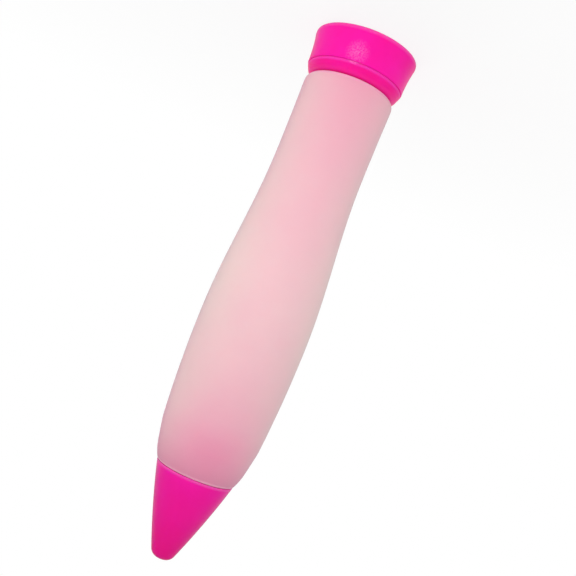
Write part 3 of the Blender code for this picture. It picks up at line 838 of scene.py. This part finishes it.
def barrelOuter(height, look):
    # Up the barrel: a mouth that narrows by a square, half a cosine wave out to the belly, a long arc
    # back in, a straight taper, and a tighter arc that starts at the taper's lean
    waist, waistHeight = look["waistRadius"], look["waistHeight"]
    bellyHeight, bellyArc = look["bellyHeight"], look["bellyArcRadius"]
    shoulderHeight = look["shoulderHeight"]
    taperTop, taperTopHeight = look["taperTopRadius"], look["taperTopHeight"]
    toMouth = (waistHeight - height) / (waistHeight - barrelBottom)
    mouth = waist + (look["mouthRadius"] - waist) * np.maximum(toMouth, 0) ** 2
    toBelly = (height - waistHeight) / (bellyHeight - waistHeight)
    swell = waist + (barrelRadius - waist) * (1 - np.cos(math.pi * toBelly)) / 2
    arc = barrelRadius - (height - bellyHeight) ** 2 / (2 * bellyArc)
    shoulder = barrelRadius - (shoulderHeight - bellyHeight) ** 2 / (2 * bellyArc)
    slope = (shoulder - taperTop) / (taperTopHeight - shoulderHeight)
    taper = shoulder - slope * (height - shoulderHeight)
    start = math.atan(slope)
    sine = np.clip(math.sin(start) + (height - taperTopHeight) / look["crownArcRadius"], -1.0, 1.0)
    crown = taperTop - look["crownArcRadius"] * (math.cos(start) - np.sqrt(1 - sine ** 2))
    tops = (waistHeight, bellyHeight, shoulderHeight, taperTopHeight)
    return np.select([height <= zoneTop for zoneTop in tops], [mouth, swell, arc, taper], crown)


def softOuter(heights, look):
    # The mean of the outer radius over a short height, which blends the shoulder's corner
    shifts = np.linspace(-look["blend"], look["blend"], look["blendSamples"])[:, None]
    within = np.clip(heights[None, :] + shifts, barrelBottom, barrelTop)
    return barrelOuter(within, look).mean(axis=0)


def makeSqueezeBarrel(look):
    # The outer face follows the outline, the inner face runs one wall inside it, and a lip turns inwards
    # at each end. The mould's parting line is a low ridge, as tall as the bell curve of the distance to it.
    bottom = barrelBottom - look["mouthDrop"]
    end = barrelTop + look["edgeRaise"]
    lipTop = barrelBottom + look["mouthLipThickness"]
    lipBottom = barrelTop - look["nozzleLipThickness"]
    highest = end - look["edgeRound"] - look["edgeGap"]
    lowest = bottom + look["mouthRise"] + look["mouthRound"] + look["mouthGap"]
    outerHeights = np.linspace(highest, lowest, look["outerRows"])
    innerLowest = lipTop + look["mouthFilletGap"]
    innerHeights = np.linspace(innerLowest, lipBottom - look["nozzleFilletGap"], look["innerRows"])
    inner = softOuter(innerHeights, look) - look["wall"]
    top = float(barrelOuter(np.array([end]), look)[0])
    corners = [
        (look["nozzleLipBore"], end, look["lipEdge"]),
        (top, end, look["edgeRound"]),
    ]
    corners += curveCorners(softOuter(outerHeights, look), outerHeights)
    corners += [
        (look["mouthRadius"] - look["mouthDraft"], bottom + look["mouthRise"], look["mouthRound"]),
        (look["mouthRadius"] - look["mouthStep"], bottom, look["mouthEdge"]),
        (look["mouthLipBore"], bottom, look["lipEdge"]),
        (look["mouthLipBore"], lipTop, look["lipEdge"]),
        (look["mouthRadius"] - look["wall"], lipTop, look["mouthFillet"]),
    ]
    corners += curveCorners(inner, innerHeights)
    corners += [
        (inner[-1] - look["nozzleFilletStep"], lipBottom, look["nozzleFillet"]),
        (look["nozzleLipBore"], lipBottom, look["lipEdge"]),
    ]
    profile = roundedProfile(corners, closed=True, spacing=look["spacing"], arcSteps=look["arcSteps"])
    beside = np.radians(look["seamColumns"])
    angles = np.concatenate([evenAngles(look["columns"]), beside, beside + math.pi])
    angles = np.sort(np.mod(angles, 2 * math.pi))

    def relief(turn, radius, height):
        away = np.minimum(np.abs(np.sin(turn / 2)), np.abs(np.sin((turn - math.pi) / 2))) * 2 * radius
        outside = radius > barrelOuter(height, look) - look["seamDepth"]
        return np.where(outside, look["seamHeight"] * np.exp(-(away / look["seamWidth"]) ** 2), 0.0)

    mesh = meshFrom("squeezeBarrel", [turnedSurface(profile, angles, relief=relief)])
    addPiece("siliconeBarrel", mesh, barrelSilicone, "barrel", "squeeze_barrel")


makeSqueezeBarrel(squeezeBarrel)
print("squeeze barrel made")

# Nozzle socket
nozzleSocket = {
    "bore": 6.6,
    "boreEdge": 0.35,
    "neckRadius": 8.4,
    "neckStep": 0.1,
    "neckEdge": 0.2,
    "neckFillet": 0.25,
    "beadRadius": 8.8,
    "beadBottom": 144.7,
    "beadHeight": 0.3,
    "beadEdge": 0.12,
    "beadFillet": 0.1,
    "flangeTop": 139.0,
    "flangeThickness": 1.8,
    "flangeEdge": 0.3,
    "flangeRound": 0.6,
    "sleeveRadius": 8.0,
    "sleeveFillet": 0.4,
    "sleeveEnd": 0.45,
    "threadStart": 4.0,  # over the sleeve's lower end
    "threadEnd": 0.3,  # under the socket's rim
    "columns": 160,
    "spacing": 0.25,
}


def makeNozzleSocket(look):
    # A threaded bore in a sleeve, with a flange behind the silicone lip and a snap bead beyond the lip
    flangeBottom = look["flangeTop"] - look["flangeThickness"]
    corners = [
        (look["bore"], socketTop, look["boreEdge"]),
        (look["neckRadius"] - look["neckStep"], socketTop, look["neckEdge"]),
        (look["beadRadius"], look["beadBottom"] + look["beadHeight"], look["beadEdge"]),
        (look["beadRadius"], look["beadBottom"], look["beadEdge"]),
        (look["neckRadius"], look["beadBottom"], look["beadFillet"]),
        (look["neckRadius"], look["flangeTop"], look["neckFillet"]),
        (socketRadius, look["flangeTop"], look["flangeEdge"]),
        (socketRadius, flangeBottom, look["flangeRound"]),
        (look["sleeveRadius"], flangeBottom, look["sleeveFillet"]),
        (look["sleeveRadius"], socketBottom, look["sleeveEnd"]),
        (look["bore"], socketBottom, look["boreEdge"]),
    ]
    profile = roundedProfile(corners, closed=True, spacing=look["spacing"])
    low = socketBottom + look["threadStart"]
    relief = threadRelief(nozzleThread, look["bore"], -1, low, socketTop - look["threadEnd"])
    mesh = turnedMesh("nozzleSocket", profile, look, relief=relief)
    addPiece("nozzleSocketFitting", mesh, pinkPlastic, "barrel", "nozzle_socket")


makeNozzleSocket(nozzleSocket)
print("nozzle socket made")

# Socket ring
socketRing = {
    "bore": 8.7,
    "edge": 0.3,
    "slantWidth": 0.7,
    "slantHeight": 1.0,
    "slantRound": 0.5,
    "columns": 128,
}


def makeSocketRing(look):
    # A flat ring with a slanted upper edge
    corners = [
        (look["bore"], ringTop, look["edge"]),
        (ringRadius - look["slantWidth"], ringTop, look["edge"]),
        (ringRadius, ringTop - look["slantHeight"], look["slantRound"]),
        (ringRadius, ringBottom, look["edge"]),
        (look["bore"], ringBottom, look["edge"]),
    ]
    profile = roundedProfile(corners, closed=True)
    mesh = turnedMesh("socketRing", profile, look)
    addPiece("socketSnapRing", mesh, collarPlastic, "barrel", "socket_ring")


makeSocketRing(socketRing)
print("socket ring made")

# Nozzle washer
nozzleWasher = {"bore": 6.7, "edge": 0.22, "columns": 112, "spacing": 0.3}


def makeNozzleWasher(look):
    # A flat ring with rounded edges
    corners = [
        (look["bore"], washerTop, look["edge"]),
        (washerRadius, washerTop, look["edge"]),
        (washerRadius, washerBottom, look["edge"]),
        (look["bore"], washerBottom, look["edge"]),
    ]
    profile = roundedProfile(corners, closed=True, spacing=look["spacing"])
    mesh = turnedMesh("nozzleWasher", profile, look)
    addPiece("nozzleSeal", mesh, sealSilicone, "washer", "nozzle_washer")


makeNozzleWasher(nozzleWasher)
print("nozzle washer made")

# Writing nozzle
writingNozzle = {
    "outletRadius": 1.0,
    "outletLength": 2.7,
    "outletEdge": 0.2,
    "outletFillet": 0.6,
    "tipRadius": 1.9,
    "tipDraft": 0.05,
    "tipRound": 0.35,
    "shankRadius": 2.0,
    "shankLength": 0.9,
    "shankRound": 0.3,
    "coneRadius": 6.1,
    "coneFillet": 0.5,
    "coneRound": 0.4,
    "coneFootRound": 0.3,
    "collarBottom": 146.8,
    "collarHeight": 3.1,
    "collarTaper": 0.9,
    "collarRound": 0.35,
    "collarEdge": 0.3,
    "spigotRoot": 6.0,
    "spigotFillet": 0.25,
    "spigotEnd": 0.5,
    "threadStart": 0.3,  # over the spigot's lower end
    "threadEnd": 0.5,  # under the collar
    "bore": 5.0,
    "boreEdge": 0.35,
    "boreRound": 0.8,
    "fluteCount": 20,
    "fluteDepth": 0.45,
    "fluteNarrowing": 1.6,
    "fluteFoot": 0.02,  # over the collar's lower face
    "fluteReach": 0.3,  # inside the collar's upper edge
    "columns": 240,
    "spacing": 0.25,
}


def makeWritingNozzle(look):
    # A hollow spigot, a slanted collar and a cone to the outlet, with a bore that narrows likewise.
    # A flute's depth goes with 1 - n (1 - cosine of the flute count times the angle), where n is the
    # narrowing, wherever that is over 0.
    shelf = look["collarBottom"] + look["collarHeight"]
    collarTopRadius = nozzleRadius - look["collarTaper"]
    corners = [
        (look["outletRadius"], nozzleTop, look["outletEdge"]),
        (look["tipRadius"] - look["tipDraft"], nozzleTop, look["tipRound"]),
        (look["shankRadius"], nozzleTop - look["shankLength"], look["shankRound"]),
        (look["coneRadius"], shelf + look["coneFillet"], look["coneRound"]),
        (look["coneRadius"] + look["coneFillet"], shelf, look["coneFootRound"]),
        (collarTopRadius, shelf, look["collarRound"]),
        (nozzleRadius, look["collarBottom"], look["collarEdge"]),
        (look["spigotRoot"], look["collarBottom"], look["spigotFillet"]),
        (look["spigotRoot"], nozzleBottom, look["spigotEnd"]),
        (look["bore"], nozzleBottom, look["boreEdge"]),
        (look["bore"], look["collarBottom"], look["boreRound"]),
        (look["outletRadius"], nozzleTop - look["outletLength"], look["outletFillet"]),
    ]
    profile = roundedProfile(corners, closed=True, spacing=look["spacing"])
    low = nozzleBottom + look["threadStart"]
    high = look["collarBottom"] - look["threadEnd"]
    ridges = threadRelief(nozzleThread, look["spigotRoot"], 1, low, high)

    def relief(turn, radius, height):
        wave = np.clip(1 - look["fluteNarrowing"] * (1 - np.cos(look["fluteCount"] * turn)), 0.0, 1.0)
        onRim = radius > collarTopRadius - look["fluteReach"]
        onRim = onRim & (height > look["collarBottom"] + look["fluteFoot"])
        return ridges(turn, radius, height) - np.where(onRim, look["fluteDepth"] * wave, 0.0)

    mesh = turnedMesh("writingNozzle", profile, look, relief=relief)
    addPiece("writingNozzleBody", mesh, whitePlastic, "nozzle", "writing_nozzle")


makeWritingNozzle(writingNozzle)
print("writing nozzle made")

# Tip cap
tipCap = {
    "rimRadius": 12.47,
    "rimEdge": 0.35,
    "rimInnerEdge": 0.3,
    "rimGap": 0.6,  # from the rim to the curve's nearest point
    "taper": 0.274,
    "bulge": 0.0023,
    "wall": 1.15,
    "noseRound": 2.95,
    "noseAngle": 22.0,  # degrees, the lean of the wall where the nose starts
    "noseGap": 0.8,
    "innerTop": 167.8,
    "innerTopRadius": 2.1,
    "innerTopRound": 0.5,
    "innerTopGap": 1.6,
    "pinRadius": 0.6,
    "pinBottom": 165.0,
    "pinDraft": 0.15,
    "pinFillet": 0.35,
    "pinRound": 0.3,
    "gripCount": 6,
    "gripHeight": 0.5,
    "gripFlat": 0.3,  # half the width of a grip's crest
    "gripReach": 0.7,  # half the width of its foot
    "gripBottom": 145.5,
    "gripTop": 150.1,
    "gripFade": 0.5,
    "gripDepth": 0.6,  # points further inside the outer curve than this are on the inner face
    "columns": 192,
    "noseRows": 14,
    "outerRows": 34,
    "innerRows": 30,
    "spacing": 0.35,
}


def makeTipCap(look):
    # The outer radius is the rim's, less the taper times the rise, less the bulge times the rise squared.
    # The nose is an arc, the inner face runs one wall inside, and a pin stands in the middle. A grip is a
    # ridge up the inner face, at its full height where the arc to the grip's middle is short.
    def coneAt(height):
        rise = height - tipCapBottom
        return look["rimRadius"] - look["taper"] * rise - look["bulge"] * rise ** 2

    lean = math.radians(look["noseAngle"])
    noseStart = tipCapTop - look["noseRound"] * (1 - math.sin(lean))
    noseRadius = coneAt(noseStart) - look["noseRound"] * math.cos(lean)
    noseAngles = np.radians(np.linspace(90.0, look["noseAngle"], look["noseRows"]))
    noseX = noseRadius + look["noseRound"] * np.cos(noseAngles)
    noseZ = tipCapTop - look["noseRound"] * (1 - np.sin(noseAngles))
    lowest = tipCapBottom + look["rimGap"]
    outerHeights = np.linspace(noseStart - look["noseGap"], lowest, look["outerRows"])
    innerHeights = np.linspace(lowest, look["innerTop"] - look["innerTopGap"], look["innerRows"])
    corners = [(0.0, tipCapTop, 0.0)]
    corners += curveCorners(noseX, noseZ)
    corners += curveCorners(coneAt(outerHeights), outerHeights)
    corners += [
        (look["rimRadius"], tipCapBottom, look["rimEdge"]),
        (look["rimRadius"] - look["wall"], tipCapBottom, look["rimInnerEdge"]),
    ]
    corners += curveCorners(coneAt(innerHeights) - look["wall"], innerHeights)
    corners += [
        (look["innerTopRadius"], look["innerTop"], look["innerTopRound"]),
        (look["pinRadius"] + look["pinDraft"], look["innerTop"], look["pinFillet"]),
        (look["pinRadius"], look["pinBottom"], look["pinRound"]),
        (0.0, look["pinBottom"], 0.0),
    ]
    profile = roundedProfile(corners, closed=False, spacing=look["spacing"])

    def relief(turn, radius, height):
        span = 2 * math.pi / look["gripCount"]
        arc = np.abs(np.mod(turn + span / 2, span) - span / 2) * radius
        across = 1 - smoothStep(look["gripFlat"], look["gripReach"], arc)
        fade = look["gripFade"]
        along = smoothStep(look["gripBottom"] - fade, look["gripBottom"] + fade, height)
        along = along * (1 - smoothStep(look["gripTop"] - fade, look["gripTop"] + fade, height))
        inside = radius < coneAt(height) - look["gripDepth"]
        return -np.where(inside, look["gripHeight"] * across * along, 0.0)

    mesh = turnedMesh("tipCap", profile, look, closed=False, relief=relief)
    addPiece("tipCapCone", mesh, tipPlastic, "tip_cap", "tip_cap")


makeTipCap(tipCap)
print("tip cap made")

# Stage: a white floor and a white world
stageLook = {
    "floorSize": 6000.0,
    "floorShade": 0.92,
    "nearGlow": 0.84,  # share of plain white in the floor beside the pen
    "nearReach": 30.0,
    "farReach": 250.0,
    "worldStrength": 0.66,
}


def whiteBackdrop(tree, litShader, glow, kind):
    # White for the camera, mirror and see-through rays, and a lit surface for all other rays
    path = tree.nodes.new("ShaderNodeLightPath")
    seen = mathNode(tree, "MAXIMUM", path.outputs["Is Camera Ray"], path.outputs["Is Glossy Ray"])
    seen = mathNode(tree, "MAXIMUM", seen, path.outputs["Is Transmission Ray"])
    white = addNode(tree, kind, Color=(1.0, 1.0, 1.0, 1.0), Strength=1.0)
    mix = tree.nodes.new("ShaderNodeMixShader")
    tree.links.new(mathNode(tree, "MULTIPLY", seen, glow), mix.inputs[0])
    tree.links.new(litShader, mix.inputs[1])
    tree.links.new(white.outputs[0], mix.inputs[2])
    return mix.outputs[0]


def makeFloor(look):
    # The share of plain white rises with the distance from the pen, so that no horizon shows
    half = look["floorSize"] / 2
    corners = np.array([[-half, -half, 0.0], [half, -half, 0.0], [half, half, 0.0], [-half, half, 0.0]])
    mesh = meshFrom("studioFloor", [(corners, np.array([[0, 1, 2, 3]]), np.zeros((0, 3), int))])
    floor = bpy.data.objects.new("studioFloor", mesh)
    bpy.context.scene.collection.objects.link(floor)
    material, tree, shader = startMaterial("whiteFloor")
    shade = look["floorShade"]
    setShader(shader, Base_Color=(shade, shade, shade, 1.0), Roughness=0.9, Specular_IOR_Level=0.0)
    place = tree.nodes.new("ShaderNodeTexCoord").outputs["Object"]
    away = distanceFrom(tree, place, (0.0, 0.0, 0.0))
    glow = remap(tree, away, look["nearReach"] * mm, look["farReach"] * mm, look["nearGlow"], 1.0)
    surface = whiteBackdrop(tree, shader.outputs[0], glow, "ShaderNodeEmission")
    tree.links.new(surface, tree.nodes["Material Output"].inputs["Surface"])
    mesh.materials.append(material)


def makeWorld(look):
    world = bpy.data.worlds.new("whiteStudio")
    bpy.context.scene.world = world
    world.use_nodes = True
    tree = world.node_tree
    ambient = tree.nodes["Background"]
    ambient.inputs["Color"].default_value = (1.0, 1.0, 1.0, 1.0)
    ambient.inputs["Strength"].default_value = look["worldStrength"]
    surface = whiteBackdrop(tree, ambient.outputs[0], 1.0, "ShaderNodeBackground")
    tree.links.new(surface, tree.nodes["World Output"].inputs["Surface"])


makeFloor(stageLook)
makeWorld(stageLook)
bpy.context.scene.view_settings.view_transform = "Standard"
print("stage made")

# Soft square lamps, power in watts
lampLooks = {
    "keyLamp": {"place": (115, -255, 20), "target": (0, 0, 40), "size": 50, "power": 0.295},
    "fillLamp": {"place": (-190, -140, 20), "target": (0, 0, 40), "size": 120, "power": 0.085},
    "sideLamp": {"place": (-400, 60, 100), "target": (0, 0, 80), "size": 250, "power": 0.12},
    "backLamp": {"place": (60, 440, 250), "target": (0, 0, 80), "size": 250, "power": 0.8},
}


def addLamp(name, look):
    # The lamp isn't mirrored in the gloss, since its glint would show along the collar ring's edge
    place = Vector(look["place"])
    data = bpy.data.lights.new(name, "AREA")
    data.shape = "SQUARE"
    data.size = look["size"] * mm
    data.energy = look["power"]
    lamp = bpy.data.objects.new(name, data)
    bpy.context.scene.collection.objects.link(lamp)
    lamp.visible_glossy = False
    lamp.location = place * mm
    lamp.rotation_mode = "QUATERNION"
    lamp.rotation_quaternion = (Vector(look["target"]) - place).to_track_quat("-Z", "Y")


for lampName, lampLook in lampLooks.items():
    addLamp(lampName, lampLook)
print("lamps made")

# Camera
cameraLook = {
    "roll": 22.148,  # degrees
    "distance": 241.45,
    "height": 95.585,
    "aimHeight": 84.804,
    "sideways": 8.911,
    "lens": 48.73,
    "sensorWidth": 36.0,
    "shift": 0.0856,
    "clipStart": 10.0,
}


def makeCamera(look):
    # Nearly level and rolled over, so that the tip points down and to the left in the picture
    data = bpy.data.cameras.new("camera")
    data.lens = look["lens"]
    data.sensor_width = look["sensorWidth"]
    data.shift_x = look["shift"]
    data.clip_start = look["clipStart"] * mm
    camera = bpy.data.objects.new("camera", data)
    bpy.context.scene.collection.objects.link(camera)
    place = Vector((look["sideways"], -look["distance"], look["height"])) * mm
    aim = Vector((look["sideways"], 0.0, look["aimHeight"])) * mm
    forward = (aim - place).normalized()
    roll = math.radians(look["roll"])
    right = forward.cross(Vector((math.sin(roll), 0.0, -math.cos(roll)))).normalized()
    up = right.cross(forward)
    camera.matrix_world = Matrix((
        (right.x, up.x, -forward.x, place.x),
        (right.y, up.y, -forward.y, place.y),
        (right.z, up.z, -forward.z, place.z),
        (0.0, 0.0, 0.0, 1.0),
    ))
    bpy.context.scene.camera = camera


makeCamera(cameraLook)
print("camera made")
